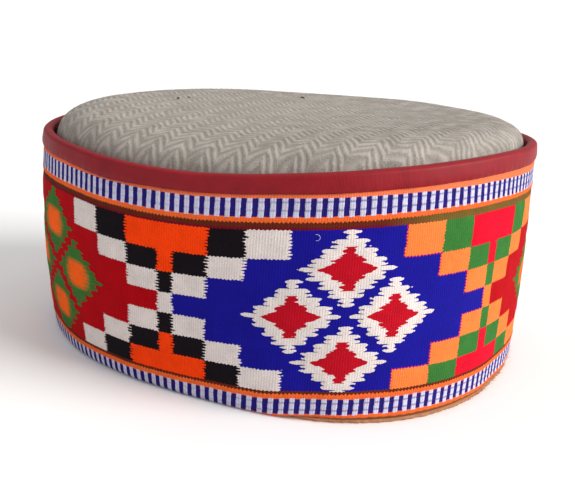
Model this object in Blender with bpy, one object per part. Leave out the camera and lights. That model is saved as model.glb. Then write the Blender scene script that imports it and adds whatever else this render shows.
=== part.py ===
"""Kullu cap: a soft wool cap with a domed grey crown and a tall patterned band, resting on its hem.

Every piece is a closed ring or disc of cloth that follows one shared wall. The wall is given by a
short table of stations round the cap, and each piece lies at its own depth inside that wall.
Lengths are in metres, +Z is up, +X is the wearer's front and the hem's underside is at z = 0.
"""

import math

import bpy
import numpy as np

# Stations round the cap, counter-clockwise from the wearer's front: angle in degrees, then the
# outer radius at the rim, the outer radius at the hem, and the height of the rim.
ANGLE, RIM_RADIUS, HEM_RADIUS, RIM_HEIGHT = range(4)
STATIONS = (
    (0, 0.0995, 0.1011, 0.0930),
    (30, 0.0982, 0.0993, 0.0899),
    (60, 0.0902, 0.0900, 0.0872),
    (90, 0.0851, 0.0844, 0.0857),
    (120, 0.0879, 0.0868, 0.0855),
    (150, 0.0961, 0.0952, 0.0854),
    (180, 0.1024, 0.0992, 0.0857),
    (210, 0.0976, 0.0906, 0.0860),
    (240, 0.0881, 0.0821, 0.0855),
    (270, 0.0859, 0.0855, 0.0894),
    (300, 0.0902, 0.0937, 0.0940),
    (330, 0.0949, 0.0969, 0.0956),
)
WALL_BULGE = 0.0185          # how far the wall swells at half height, as a share of its radius
BACK_BULGE = 0.0095          # how much more it swells at the back, and less at the front

CLOTH_GAP = 0.0003           # clearance between neighbouring pieces
BINDING_CLOTH = 0.0010       # thickness of the folded strips at rim and hem
BAND_THICKNESS = 0.0021
CROWN_WALL_THICKNESS = 0.0016
CROWN_CLOTH = 0.0015

BAND_INSET = 0.0005          # the band's face lies this far inside the binding's face
RIM_BINDING_DROP = 0.0076    # how far the maroon strip reaches down the band's face
RIM_BINDING_TUCK = 0.0048    # how far it reaches down behind the band
RIM_FOLD_RISE = 0.0014       # height of the rounded fold above the band's top edge
HEM_FACE_HEIGHT = 0.0013     # height of the tan strip's bottom layer
HEM_TURN_UP = 0.0085         # height of the tan strip on the inside
HEM_FACE_INSET = 0.0009      # the strip's edge lies this far inside the binding's face
SOFT_EDGE = 0.0004           # rounding of the folded strips' edges
BAND_EDGE = 0.0010           # rounding of the band's lower edge
CROWN_CLEARANCE = 0.0012     # extra room between the crown's edge and the rim binding

CROWN_SEAM_DROP = 0.0082     # how far below the rim the crown meets the inner wall
CROWN_PUFF = 0.0090          # height of the crown's middle above the mean rim
CROWN_FLATNESS = 12.5        # larger keeps the crown flat farther out
CROWN_SHOULDER = 3.0         # larger makes its edge steeper

STEPS_AROUND = 84
TURN = np.linspace(0.0, 2.0 * math.pi, STEPS_AROUND, endpoint=False)
FOLD_STEPS = 6
WALL_LEVELS = (0.18, 0.34, 0.50, 0.66, 0.82)
CROWN_RINGS = (1.0, 0.997, 0.985, 0.96, 0.92, 0.86, 0.76, 0.60, 0.30)

MAROON = (0.32, 0.02, 0.05, 1.0)
KULLU_RED = (0.48, 0.03, 0.04, 1.0)
GREY_WOOL = (0.36, 0.33, 0.29, 1.0)
TAN = (0.42, 0.26, 0.14, 1.0)


def around(column, angle):
    """One column of the stations at any angle: the series of waves through all twelve."""
    values = np.array([row[column] for row in STATIONS])
    waves = np.fft.rfft(values) / len(values)
    waves[1:-1] *= 2.0
    return sum((wave * np.exp(1j * turns * angle)).real for turns, wave in enumerate(waves))


RIM = around(RIM_HEIGHT, TURN)
MEAN_RIM = RIM.mean()


def wall_radius(height):
    """Outer radius of the wall at a height: straight from hem to rim, swollen at half height."""
    share = height / RIM
    straight = around(HEM_RADIUS, TURN) * (1.0 - share) + around(RIM_RADIUS, TURN) * share
    bulge = WALL_BULGE - BACK_BULGE * np.cos(TURN)
    return straight * (1.0 + bulge * 4.0 * share * (1.0 - share))


def on_wall(height, depth):
    """A row of (radius, height) all round, at a height and at a depth inside the wall's face."""
    height = height * np.ones_like(TURN)
    return wall_radius(height) - depth, height


def flat_row(inset, height):
    """A row at the hem's own outline, for faces that have to be flat and level."""
    return wall_radius(np.zeros_like(TURN)) - inset, height * np.ones_like(TURN)


def middle_of_outline():
    """Middle of the cap's box in x and y, taken from the band at many heights."""
    rows = [wall_radius(RIM * share) for share in np.linspace(0.0, 1.0, 41)]
    x = np.array([row * np.cos(TURN) for row in rows])
    y = np.array([row * np.sin(TURN) for row in rows])
    return (x.max() + x.min()) / 2.0, (y.max() + y.min()) / 2.0


MIDDLE_X, MIDDLE_Y = middle_of_outline()


def place(row):
    """Points of one row, with the middle of the cap's outline over the origin."""
    radius, height = row
    return np.stack([radius * np.cos(TURN) - MIDDLE_X, radius * np.sin(TURN) - MIDDLE_Y, height], 1)


def cloth(name, colour):
    """A matt cloth finish of one colour."""
    material = bpy.data.materials.new(name)
    material.use_nodes = True
    shader = material.node_tree.nodes["Principled BSDF"]
    shader.inputs["Base Color"].default_value = colour
    shader.inputs["Roughness"].default_value = 0.9
    shader.inputs["Metallic"].default_value = 0.0
    return material


def add_piece(name, points, faces, finish):
    """One sub-part as an object of its own, smooth shaded apart from its sharp edges."""
    mesh = bpy.data.meshes.new(name)
    mesh.from_pydata(points.tolist(), [], faces)
    mesh.validate()
    mesh.materials.append(finish)
    mesh.shade_smooth()
    mesh.set_sharp_from_angle(angle=math.radians(50.0))
    piece = bpy.data.objects.new(name, mesh)
    bpy.context.scene.collection.objects.link(piece)


def strips(first_row, rows, closed):
    """Quads between neighbouring rows of points, the last row joined to the first if closed."""
    faces = []
    for row in range(rows if closed else rows - 1):
        low = first_row + row * STEPS_AROUND
        high = first_row + ((row + 1) % rows) * STEPS_AROUND
        for step in range(STEPS_AROUND):
            after = (step + 1) % STEPS_AROUND
            faces.append((low + step, low + after, high + after, high + step))
    return faces


def add_ring(name, section, finish):
    """A ring whose section is a closed loop of rows, up the outside and down the inside."""
    points = np.concatenate([place(row) for row in section])
    add_piece(name, points, strips(0, len(section), closed=True), finish)


def band_top():
    """Height of the band's upper edge, under the fold of the rim binding."""
    return RIM - BINDING_CLOTH - CLOTH_GAP - RIM_FOLD_RISE / 2.0


def add_woven_band(finish):
    """The patterned wall: full thickness in the field, pinched thinner under the rim binding."""
    inner = BAND_INSET + BAND_THICKNESS
    pinched = BINDING_CLOTH + CLOTH_GAP
    foot = HEM_FACE_HEIGHT + CLOTH_GAP
    top = band_top()
    under_binding = RIM - RIM_BINDING_DROP - 2.0 * CLOTH_GAP
    outside = [on_wall(foot, BAND_INSET + BAND_EDGE / 2.0), on_wall(foot + BAND_EDGE, BAND_INSET)]
    outside += [on_wall(RIM * level, BAND_INSET) for level in WALL_LEVELS]
    outside += [on_wall(under_binding, BAND_INSET), on_wall(under_binding + CLOTH_GAP, pinched)]
    outside += [on_wall(top, pinched)]
    inside = [on_wall(top, inner)]
    inside += [on_wall(RIM * level, inner) for level in reversed(WALL_LEVELS)]
    inside += [on_wall(foot, inner)]
    add_ring("woven_band", outside + inside, finish)


def add_crown_wall(finish):
    """The grey inner wall, upright behind the band and leaning in where the crown sits on it."""
    outer = BAND_INSET + BAND_THICKNESS + CLOTH_GAP
    inner = outer + CROWN_WALL_THICKNESS
    foot = HEM_FACE_HEIGHT + CLOTH_GAP
    lean = crown_edge_depth() - outer
    seam = RIM - CROWN_SEAM_DROP - CLOTH_GAP
    outside = [on_wall(foot, outer)]
    outside += [on_wall(RIM * level, outer) for level in WALL_LEVELS]
    outside += [on_wall(seam, outer + lean)]
    inside = [on_wall(seam, inner + lean)]
    inside += [on_wall(RIM * level, inner) for level in reversed(WALL_LEVELS)]
    inside += [on_wall(foot, inner)]
    add_ring("crown_wall", outside + inside, finish)


def add_rim_binding(finish):
    """The maroon strip: down the band's face, round over its top edge and down behind it."""
    back = BAND_INSET + BAND_THICKNESS + CLOTH_GAP + BINDING_CLOTH
    under = band_top() + CLOTH_GAP
    shoulder = RIM - RIM_FOLD_RISE
    outer_foot = RIM - RIM_BINDING_DROP
    inner_foot = RIM - RIM_BINDING_TUCK
    fold = []
    for share in np.linspace(0.0, 1.0, FOLD_STEPS):
        swing = math.pi * share
        depth = back * (1.0 - math.cos(swing)) / 2.0
        fold.append(on_wall(shoulder + RIM_FOLD_RISE * math.sin(swing), depth))
    section = [on_wall(outer_foot, BINDING_CLOTH), on_wall(outer_foot, SOFT_EDGE / 2.0)]
    section += [on_wall(outer_foot + 2.0 * SOFT_EDGE, 0.0)]
    section += fold
    section += [on_wall(inner_foot, back), on_wall(inner_foot, back - BINDING_CLOTH)]
    section += [on_wall(under, back - BINDING_CLOTH), on_wall(under, BINDING_CLOTH)]
    add_ring("rim_binding", section, finish)


def add_hem_binding(finish):
    """The tan strip: a flat layer under both walls, turned up on the inside."""
    wall_back = BAND_INSET + BAND_THICKNESS + CLOTH_GAP + CROWN_WALL_THICKNESS
    turn_up = wall_back + CLOTH_GAP
    back = turn_up + BINDING_CLOTH
    section = [flat_row(HEM_FACE_INSET + SOFT_EDGE, 0.0), flat_row(HEM_FACE_INSET, SOFT_EDGE)]
    section += [flat_row(HEM_FACE_INSET, HEM_FACE_HEIGHT), flat_row(turn_up, HEM_FACE_HEIGHT)]
    section += [on_wall(HEM_TURN_UP, turn_up), on_wall(HEM_TURN_UP, back)]
    section += [on_wall(HEM_TURN_UP / 2.0, back), flat_row(back, SOFT_EDGE)]
    section += [flat_row(back - SOFT_EDGE, 0.0)]
    add_ring("hem_binding", section, finish)


def crown_edge_depth():
    """Depth of the crown's edge inside the wall's face, clear of the rim binding's inner leg."""
    binding_back = BAND_INSET + BAND_THICKNESS + CLOTH_GAP + BINDING_CLOTH
    return binding_back + CLOTH_GAP + CROWN_CLEARANCE


def crown_row(ring, thickness):
    """One ring of the domed crown at a share of its radius, on its face or under its cloth.

    The face rises from the crown's seam as the root of one minus a power of the ring's share, so
    that it is steep at the edge and nearly level in the middle. The base under it goes from the
    rim's own height at the edge to the mean rim in the middle.
    """
    edge_height = RIM - CROWN_SEAM_DROP
    edge = wall_radius(edge_height) - crown_edge_depth() - thickness
    radius = edge * ring
    base = MEAN_RIM + (RIM - MEAN_RIM) * ring ** 2 - CROWN_SEAM_DROP
    puff = CROWN_PUFF + CROWN_SEAM_DROP - thickness
    dome = (1.0 - ring ** CROWN_FLATNESS) ** (1.0 / CROWN_SHOULDER)
    return radius, base + puff * dome


def add_crown_top(finish):
    """The domed disc: rings of its face, its edge, and the rings of its underside."""
    face = [crown_row(ring, 0.0) for ring in reversed(CROWN_RINGS)]
    underside = [crown_row(ring, CROWN_CLOTH) for ring in CROWN_RINGS]
    rows = [place(row) for row in face + underside]
    peak = place((np.zeros_like(TURN), crown_row(0.0, 0.0)[1]))[:1]
    ceiling = place((np.zeros_like(TURN), crown_row(0.0, CROWN_CLOTH)[1]))[:1]
    points = np.concatenate(rows + [peak, ceiling])
    faces = [tuple(reversed(quad)) for quad in strips(0, len(rows), closed=False)]
    last = (len(rows) - 1) * STEPS_AROUND
    peak_index = len(rows) * STEPS_AROUND
    for step in range(STEPS_AROUND):
        after = (step + 1) % STEPS_AROUND
        faces.append((peak_index, step, after))
        faces.append((peak_index + 1, last + after, last + step))
    add_piece("crown_top", points, faces, finish)


def build():
    """Clear the scene and make the five pieces."""
    for leftover in list(bpy.data.objects):
        bpy.data.objects.remove(leftover)
    add_crown_top(cloth("herringbone_wool", GREY_WOOL))
    add_crown_wall(cloth("inner_wool", GREY_WOOL))
    add_woven_band(cloth("kullu_weave", KULLU_RED))
    add_rim_binding(cloth("maroon_cloth", MAROON))
    add_hem_binding(cloth("tan_cloth", TAN))


build()
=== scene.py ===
"""Looks of the kullu cap: its woven band, maroon rim, herringbone crown, inner wall and tan hem.

Every cloth is a surface worked out on a grid of turns round the cap and rows up its wall, and it
keeps the place of the solid that it stands for. Lengths are metres, +Z is up and +X is the
wearer's front. The measures of the weaving, which run along the cloth, are millimetres.
"""

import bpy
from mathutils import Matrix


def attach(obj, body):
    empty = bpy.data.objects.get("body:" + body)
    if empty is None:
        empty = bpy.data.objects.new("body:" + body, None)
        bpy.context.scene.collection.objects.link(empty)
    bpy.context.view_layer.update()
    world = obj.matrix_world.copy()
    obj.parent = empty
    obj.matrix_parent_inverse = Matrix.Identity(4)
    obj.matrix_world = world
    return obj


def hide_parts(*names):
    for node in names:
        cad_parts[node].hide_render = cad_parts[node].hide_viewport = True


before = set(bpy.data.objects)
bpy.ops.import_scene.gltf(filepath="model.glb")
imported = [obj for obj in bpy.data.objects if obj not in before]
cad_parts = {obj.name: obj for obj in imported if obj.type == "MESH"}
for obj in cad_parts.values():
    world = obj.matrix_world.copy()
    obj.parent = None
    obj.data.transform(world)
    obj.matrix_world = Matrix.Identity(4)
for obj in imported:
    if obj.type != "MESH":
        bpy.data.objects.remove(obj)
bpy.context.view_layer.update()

import math

import bpy
import numpy as np
from mathutils import Matrix, Vector

MM = 0.001
FULL_TURN = 2.0 * math.pi

# Stations round the cap, counter-clockwise from the wearer's front: angle in degrees, then the
# outer radius at the rim, the outer radius at the hem, and the height of the rim.
RIM_RADIUS, HEM_RADIUS, RIM_HEIGHT = 1, 2, 3
STATIONS = (
    (0, 0.0995, 0.1011, 0.0930),
    (30, 0.0982, 0.0993, 0.0899),
    (60, 0.0902, 0.0900, 0.0872),
    (90, 0.0851, 0.0844, 0.0857),
    (120, 0.0879, 0.0868, 0.0855),
    (150, 0.0961, 0.0952, 0.0854),
    (180, 0.1024, 0.0992, 0.0857),
    (210, 0.0976, 0.0906, 0.0860),
    (240, 0.0881, 0.0821, 0.0855),
    (270, 0.0859, 0.0855, 0.0894),
    (300, 0.0902, 0.0937, 0.0940),
    (330, 0.0949, 0.0969, 0.0956),
)
WALL_BULGE = 0.0185          # how much wider the wall is at half height, as a share
BACK_BULGE = 0.0095          # what the back has more of it, and the front less

CLOTH_GAP = 0.0003           # air between two cloths
BAND_INSET = 0.0005          # depth of the band's face behind the outline
BAND_THICKNESS = 0.0021
CROWN_WALL_THICKNESS = 0.0016
CROWN_CLOTH = 0.0015         # thickness of the crown's cloth
BINDING_CLOTH = 0.0010       # thickness of both strips' cloth
RIM_BINDING_TUCK = 0.0048    # how far the maroon strip goes down inside the rim
RIM_FOLD_RISE = 0.0014       # height of its round fold
HEM_FACE_HEIGHT = 0.0013     # height of the tan strip's raw edge
HEM_FACE_INSET = 0.0009      # depth of that edge
HEM_TURN_UP = 0.0085         # how far the tan strip goes up inside
SOFT_EDGE = 0.0004           # bevel of its lower edges
CROWN_CLEARANCE = 0.0012     # room between the crown's edge and the maroon strip

# Depths behind the outline: the inner wall's two faces, and the crown's edge inside the strip.
BAND_BACK = BAND_INSET + BAND_THICKNESS + CLOTH_GAP
WALL_BACK = BAND_BACK + CROWN_WALL_THICKNESS
CROWN_EDGE = BAND_BACK + BINDING_CLOTH + CLOTH_GAP + CROWN_CLEARANCE

CROWN_SEAM_DROP = 0.0082     # how far the crown's edge lies below the rim
CROWN_PUFF = 0.0090          # how far its middle stands above the mean rim
CROWN_FLATNESS = 12.5        # power of the radius in the dome's formula
CROWN_SHOULDER = 3.0         # root in that formula

# Slack of the sewn cloth: waves round the wall, size, phase, and drift of the phase up the wall.
SLACK = (
    (5, 0.00016, 0.6, 1.9),
    (8, 0.00014, 2.1, -2.6),
    (13, 0.00012, 4.0, 3.4),
    (19, 0.00008, 1.2, -4.8),
    (27, 0.00006, 5.3, 6.0),
)

# Measures of the weaving in millimetres along the cloth.
CROSS_START = 401.3          # where a cross of the pattern has its middle, from the wearer's front
REPEAT = 262.0               # from one cross to the next of the same colours
CROSS_STEP = REPEAT / 2.0    # from one cross to the next
PANEL_MIDDLE = REPEAT / 4.0  # from a cross to the middle of the panel beside it
CROSS_EDGES = (3.0, 16.0, 29.6, 45.0)  # of its columns of blocks, from its middle
FIELD_ROWS = 7.0             # rows of blocks from the field's foot to its top
MIDDLE_BLOCK = 3.0           # number of the middle row of blocks, counted from zero
ROW_RISE = 8.55              # mean height of a row
LOW_BLOCKS = 1.036           # how many blocks of a cross fill one row, below the topmost block
TOP_BLOCK = 0.826            # how much of the taller topmost block one row fills
FIELD_TOP = 18.8             # the field's upper edge, below the rim
FIELD_FOOT = 14.0            # the field's lower edge, above the border's own foot
LOZENGE_ROW = 3.35           # the row at which the four lozenges of a panel are centred
LOZENGE_SIDE = 18.6          # how far the left and right lozenges stand from the middle
LOZENGE_LIFT = 17.3          # how far the upper and lower ones do
LOZENGE_STEP = 3.24          # height of one step of a lozenge's edge, which is two yarn ends
LOZENGE_START = 0.75         # steps already climbed at its middle, so that a tip is half a step
LOZENGE_HALF = 16.7          # half width at its tips
LOZENGE_SHRINK = 3.7         # how much narrower each further step is
BAR_START = 429.3            # where one blue bar of the borders has its middle
BAR_PITCH = 3.75             # from one blue bar to the next
RIB_PITCH = BAR_PITCH / 4.0  # of the weave's ribs, two to a blue bar and two to a white one
FINGER_PITCH = 1.15          # of the rounded yarn ends at the sides of a block
TOOTH_PITCH = 1.4            # of the small teeth along a row's edge

# How far the hand-sewn band strays, in millimetres by millimetres along it: the pattern's pull
# sideways, that of the bars, the upper border's fall below the rim, the further pull of the low
# rows and that of the outer rows, the rows' lift in rows, the foot's tuck under the hem, and the
# binding's reach over the band.
PATTERN_PULL = ((341, -5.2), (378, 0.0), (516, 0.0), (560, 5.0))
BAR_PULL = (
    (343, -7.9), (378, -1.3), (429, 0.0), (446, -1.2), (483, -1.5), (527, -0.4), (545, 1.0),
)
BORDER_FALL = (
    (430, 0.0), (450, 0.3), (500, 1.0), (540, 1.6), (570, 1.7), (700, 0.6), (880, 0.0),
)
LOW_PULL = ((468, 0.0), (490, 2.0), (565, 2.0), (600, 0.0))
OUTER_PULL = ((350, 0.0), (358, 2.0), (374, 2.0), (388, 0.0))
ROW_LIFT = ((470, 0.0), (492, 0.1), (565, 0.1), (600, 0.0))
FOOT_TUCK = (
    (298, 3.4), (350, 5.7), (380, 5.8), (400, 5.3), (420, 4.6), (440, 4.0), (450, 2.6),
    (460, 1.65), (480, 0.5), (500, 0.1), (520, 0.0), (640, 0.0), (720, 1.2), (891, 3.4),
)
BINDING_REACH = ((298, 6.9), (350, 6.5), (377, 7.3), (395, 6.6), (440, 6.6), (455, 6.9))

# Herringbone of the crown, in millimetres: ribs slant to both sides of stripes that run away.
STRIPE_TURN = math.radians(61.1)
STRIPE_WIDTH = 5.15
STRIPE_START = 2.5           # from a change of stripe to the cap's middle
RIB_SPACING = 3.55           # from rib to rib along a stripe
RIB_SLANT = math.tan(math.radians(45.7))

ROUND_STEPS = 2881           # places round the cap at which the cloth's length is measured


def around(column, turn):
    """One column of the stations at any angle: the series of waves through all twelve."""
    values = np.array([row[column] for row in STATIONS])
    waves = np.fft.rfft(values) / len(values)
    waves[1:-1] *= 2.0
    return sum((wave * np.exp(1j * turns * turn)).real for turns, wave in enumerate(waves))


def slack(turn, share):
    """Unevenness of hand-sewn cloth: the sum of a few waves that drift as they climb the wall."""
    return sum(
        size * np.sin(waves * turn + phase + drift * share) for waves, size, phase, drift in SLACK
    )


def wall_radius(turn, height):
    """Outer radius: straight from hem to rim, swollen at half height, with the cloth's slack."""
    share = height / around(RIM_HEIGHT, turn)
    straight = around(HEM_RADIUS, turn) * (1.0 - share) + around(RIM_RADIUS, turn) * share
    bulge = WALL_BULGE - BACK_BULGE * np.cos(turn)
    return straight * (1.0 + bulge * 4.0 * share * (1.0 - share)) + slack(turn, share)


def middle_of_outline():
    """Middle of the cap's box in x and y, taken from the smooth wall at many heights."""
    turn = np.linspace(0.0, FULL_TURN, 84, endpoint=False)
    share = np.linspace(0.0, 1.0, 41)[:, None]
    height = around(RIM_HEIGHT, turn) * share
    radius = wall_radius(turn, height) - slack(turn, share)
    x, y = radius * np.cos(turn), radius * np.sin(turn)
    return (x.max() + x.min()) / 2.0, (y.max() + y.min()) / 2.0


MIDDLE_X, MIDDLE_Y = middle_of_outline()


def place(turn, radius, height):
    """Points from an angle, a radius and a height, with the outline's middle over the origin."""
    x = radius * np.cos(turn) - MIDDLE_X
    y = radius * np.sin(turn) - MIDDLE_Y
    return np.stack(np.broadcast_arrays(x, y, height), -1)


def turns_from_seam(columns):
    """Angles once round from the back seam, with the first one again at the end."""
    return np.linspace(math.pi, math.pi + FULL_TURN, columns + 1)


def cloth_length(turn):
    """Millimetres along the band at half height, counter-clockwise from the wearer's front."""
    fine = np.linspace(0.0, FULL_TURN, ROUND_STEPS)
    radius = wall_radius(fine, around(RIM_HEIGHT, fine) / 2.0) - BAND_INSET
    points = place(fine, radius, np.zeros_like(fine))
    steps = np.linalg.norm(np.diff(points, axis=0), axis=1) / MM
    along = np.concatenate([[0.0], np.cumsum(steps)])
    laps = np.floor(turn / FULL_TURN)
    return np.interp(turn - laps * FULL_TURN, fine, along) + laps * along[-1]


def stray(table, along):
    """How far the band strays at a place along it, read between the rows of a table."""
    return np.interp(along, *np.transpose(table))


def smooth_step(low, high, value):
    """Zero below low, one above high, and a smooth rise between them."""
    share = np.clip((value - low) / (high - low), 0.0, 1.0)
    return share * share * (3.0 - 2.0 * share)


def ridge(distance, width):
    """A bell-shaped ridge of height one over a distance."""
    return np.exp(-((distance / width) ** 2))


def fold_back(value, reach):
    """Distance that runs from zero up to reach and back again."""
    return reach - np.abs(reach - np.mod(value, 2.0 * reach))


def swaying(value, pitch, sway, sway_pitch):
    """A wave over a value, whose phase sways to and fro with a slower wave."""
    return np.sin(value / pitch + sway * np.sin(value / sway_pitch))


def back_seam(along, lips, groove):
    """The pressed seam at the back: two lips less a groove, each a rise and a width."""
    from_seam = np.minimum(along - along.min(), along.max() - along)
    return lips[0] * ridge(from_seam, lips[1]) - groove[0] * ridge(from_seam, groove[1])


def new_piece(name, points, faces, finish, maps=None):
    """A smooth mesh object from points and faces, with maps of two numbers at face corners."""
    mesh = bpy.data.meshes.new(name)
    mesh.from_pydata(points.reshape(-1, 3).tolist(), [], faces)
    for label, values in (maps or {}).items():
        layer = mesh.uv_layers.new(name=label)
        layer.data.foreach_set("uv", values.astype(np.float32).ravel())
    mesh.materials.append(finish)
    mesh.shade_smooth()
    piece = bpy.data.objects.new(name, mesh)
    bpy.context.scene.collection.objects.link(piece)
    return piece


def dress(piece, slot, *nodes):
    """The piece rides on the cap and stands for the named solids; slot is not used."""
    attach(piece, "root")
    if nodes:
        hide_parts(*nodes)


def grid_faces(rows, columns, closed):
    """Corner numbers of the quads between neighbouring rows, each row joined to itself."""
    row = np.arange(rows if closed else rows - 1)[:, None]
    column = np.arange(columns)[None, :]
    low = row * columns
    high = ((row + 1) % rows) * columns
    after = (column + 1) % columns
    corners = np.stack([low + column, low + after, high + after, high + column], -1)
    return corners.reshape(-1, 4)


def corner_map(first, second):
    """Two tables of numbers read at the corners of a closed ring's quads, in their order."""
    table = np.stack(np.broadcast_arrays(first, second), -1)
    above = np.roll(table, -1, axis=0)
    return np.stack([table[:, :-1], table[:, 1:], above[:, 1:], above[:, :-1]], 2)


def ring_piece(name, turn, section, finish, maps=None):
    """A closed ring from rows of (radius, height) that go up its outside and down its inside."""
    points = np.stack([place(turn, radius, height)[:-1] for radius, height in section])
    faces = grid_faces(len(section), len(turn) - 1, closed=True)
    return new_piece(name, points, faces.tolist(), finish, maps)


def strip_map(along, rows, step):
    """The cloth map of a strip: millimetres along it, and round its section in even steps."""
    girth = np.arange(rows)[:, None] * step
    return {"cloth": corner_map(np.broadcast_to(along, (rows, along.size)), girth)}


def strands(name, lines, radii, sides, finish):
    """Many thin threads as one mesh: each a tube of a few sides along its own line of points.

    lines holds one row of points for each thread, and radii the thickness along them. Each ring
    of a tube lies square to the line, and both ends are closed by a flat face.
    """
    count, steps = lines.shape[:2]
    along = np.gradient(lines, axis=1)
    along /= np.linalg.norm(along, axis=2, keepdims=True)
    helper = np.where(np.abs(along[..., 2:]) > 0.8, [1.0, 0.0, 0.0], [0.0, 0.0, 1.0])
    first = np.cross(helper, along)
    first /= np.linalg.norm(first, axis=2, keepdims=True)
    second = np.cross(along, first)
    swing = np.arange(sides) * FULL_TURN / sides
    ring = first[:, :, None] * np.cos(swing)[:, None] + second[:, :, None] * np.sin(swing)[:, None]
    points = lines[:, :, None] + ring * np.broadcast_to(radii, (count, steps))[..., None, None]
    start = (np.arange(count) * steps * sides)[:, None, None]
    quads = (start + grid_faces(steps, sides, closed=False)[None]).reshape(-1, 4).tolist()
    start = start[:, 0]
    near = (start + np.arange(sides)[::-1]).tolist()
    far = (start + (steps - 1) * sides + np.arange(sides)).tolist()
    return new_piece(name, points, quads + near + far, finish)


def lozenge_place(across, lift):
    """Distances sideways and upwards from the nearest of a panel's four lozenges."""
    upper = lift * LOZENGE_SIDE > across * LOZENGE_LIFT
    side = np.abs(across - np.where(upper, 0.0, LOZENGE_SIDE))
    rise = np.abs(lift - np.where(upper, LOZENGE_LIFT, 0.0))
    return side, rise


def motif_mask(pulled, row):
    """One where a block of a cross or a lozenge lies, and zero on the panels' ground.

    A cross has one more column of blocks for each row away from its middle. A lozenge narrows
    by equal steps above and below its middle.
    """
    across = fold_back(pulled - CROSS_START, PANEL_MIDDLE)
    column = np.searchsorted(CROSS_EDGES, across)
    block = np.minimum(row * LOW_BLOCKS, FIELD_ROWS - (FIELD_ROWS - row) * TOP_BLOCK)
    cross = np.abs(np.floor(block) - MIDDLE_BLOCK) >= column
    side, rise = lozenge_place(PANEL_MIDDLE - across, np.abs(row - LOZENGE_ROW) * ROW_RISE)
    half = LOZENGE_HALF - LOZENGE_SHRINK * np.floor(rise / LOZENGE_STEP + LOZENGE_START)
    in_field = (row > 0.0) & (row < FIELD_ROWS)
    return ((cross | (side < half)) & in_field).astype(float)


def soften(table):
    """A table blurred a little along and across its rows."""
    table = (np.roll(table, 1, 1) + 2.0 * table + np.roll(table, -1, 1)) / 4.0
    table[1:-1] = (table[:-2] + 2.0 * table[1:-1] + table[2:]) / 4.0
    return table


BAND_COLUMNS = 990
FOOT_ROWS = 14
FIELD_STEPS = 48
TOP_ROWS = 22
PINCHED_ROWS = (0.0005, 0.0024)  # rows under the binding, above its lower edge
BACK_THINNING = 9            # rows of the face to one row of the plain back
MOTIF_RISE = 0.00030         # how far blocks and lozenges stand out of the ground
CORD_RISE = 0.00028          # how far the orange lines do
BAR_RISE = 0.00016           # how far the bars do
PUCKER_RISE = 0.00006        # how far the cloth puckers under the binding's stitches
FOOT_ROUNDING = 0.0024       # height of the rounded foot
FOOT_DEPTH = 0.0009          # how far it turns in
ROLL_DROP = 0.0013           # how far the band reaches down over the tape where it is tucked
ROLL_INSET = 0.0022          # how far the tape stands back there
ROLL_STARTS = 1.6            # the tuck, in millimetres, at which the band starts to cover the tape
ROLL_WHOLE = 3.2             # the tuck at which it covers the tape

# Raised lines of the borders, in millimetres: middle, width, and share of the orange lines' rise.
TOP_CORDS = ((15.3, 1.1, 1.0), (7.2, 0.5, 0.6))
FOOT_CORDS = ((12.0, 1.0, 1.0), (4.0, 0.8, 1.0))
# Slopes at which the bars start and end, each from nothing to the full rise.
TOP_BARS = ((7.7, 8.4), (14.4, 13.6))
FOOT_BARS = ((4.7, 5.6), (11.0, 10.1))
PINCH = (0.9, 0.1)           # below the binding's edge, where its pinch starts and is whole
BAND_SEAM = ((0.0005, 2.4), (0.0010, 0.7))


def rolled_under(along):
    """One where the foot is tucked so far that the band covers the tape, and zero elsewhere."""
    return smooth_step(ROLL_STARTS, ROLL_WHOLE, stray(FOOT_TUCK, along))


def rows_between(low, high, count):
    """Heights of evenly spaced rows from one line to just short of the next."""
    return [low + (high - low) * share for share in np.arange(count) / count]


def band_heights(turn, along):
    """Heights of the outer rows: through the foot border, the field, and the top border."""
    rim = around(RIM_HEIGHT, turn)
    foot = HEM_FACE_HEIGHT + CLOTH_GAP - ROLL_DROP * rolled_under(along)
    field_foot = (FIELD_FOOT - stray(FOOT_TUCK, along)) * MM
    field_top = rim - (FIELD_TOP + stray(BORDER_FALL, along)) * MM
    edge = rim - stray(BINDING_REACH, along) * MM
    rows = rows_between(foot, field_foot, FOOT_ROWS)
    rows += rows_between(field_foot, field_top, FIELD_STEPS)
    rows += rows_between(field_top, edge, TOP_ROWS)
    rows += [edge + rise for rise in PINCHED_ROWS]
    rows += [rim - BINDING_CLOTH - CLOTH_GAP - RIM_FOLD_RISE / 2.0]
    return np.array(rows), field_foot, field_top


def pattern_place(along, row):
    """Place along the pulled pattern and its row: low rows and outer rows are pulled further."""
    share = row / FIELD_ROWS
    lean = 1.0 - np.clip(share, 0.0, 1.0) ** 3
    outer = np.minimum(np.abs(2.0 * share - 1.0), 1.0)
    pulled = along + stray(PATTERN_PULL, along) + stray(LOW_PULL, along) * lean
    return pulled + stray(OUTER_PULL, along) * outer, row + stray(ROW_LIFT, along)


def raised(distance, cords):
    """The sum of some raised lines over a distance, each a ridge with its own share."""
    return sum(share * ridge(distance - middle, width) for middle, width, share in cords)


def between(distance, slopes):
    """One between two slopes, zero beyond them, with a smooth change on each."""
    return smooth_step(*slopes[0], distance) * smooth_step(*slopes[1], distance)


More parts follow.
